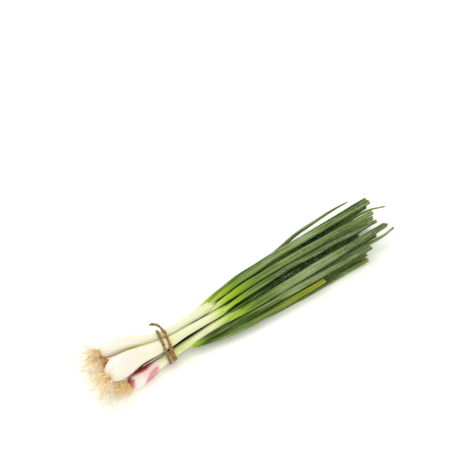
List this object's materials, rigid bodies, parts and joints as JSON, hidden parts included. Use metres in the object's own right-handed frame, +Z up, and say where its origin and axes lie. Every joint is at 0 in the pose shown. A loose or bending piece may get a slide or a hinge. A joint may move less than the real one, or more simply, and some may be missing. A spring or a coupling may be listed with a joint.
{
  "type": "spring onion bunch",
  "caption": "Young spring onions with hairy roots, pale stems and trimmed green leaves, tied in a bunch with twine and lying on its side.",
  "frame": {"origin": "middle of the bunch's box, on the surface that it lies on", "axes": "+X runs along the bunch from the roots to the leaf tips, +Z is up and +Y is across, away from the side where the small pink bulb lies"},
  "size_m": [0.3868, 0.0803, 0.0447],
  "materials": {
    "pale_bulb_skin": "satin",
    "pink_bulb_skin": "satin",
    "green_leaf": "satin",
    "dry_root": "matte",
    "jute_twine": "matte"
  },
  "bodies": {
    "root": {"onion_a": "pale_bulb_skin", "onion_b": "pale_bulb_skin", "onion_c": "pink_bulb_skin", "onion_d": "pale_bulb_skin", "roots_a": "dry_root", "roots_b": "dry_root", "roots_c": "dry_root", "roots_d": "dry_root", "leaf_a1": "green_leaf", "leaf_a2": "green_leaf", "leaf_a3": "green_leaf", "leaf_a4": "green_leaf", "leaf_a5": "green_leaf", "leaf_b1": "green_leaf", "leaf_b2": "green_leaf", "leaf_b3": "green_leaf", "leaf_c1": "green_leaf", "leaf_c2": "green_leaf", "leaf_c3": "green_leaf", "leaf_c4": "green_leaf", "leaf_c5": "green_leaf", "leaf_d1": "green_leaf", "leaf_d2": "green_leaf", "leaf_d3": "green_leaf", "leaf_d4": "green_leaf", "leaf_d5": "green_leaf", "twine": "jute_twine"}
  },
  "joints": []
}
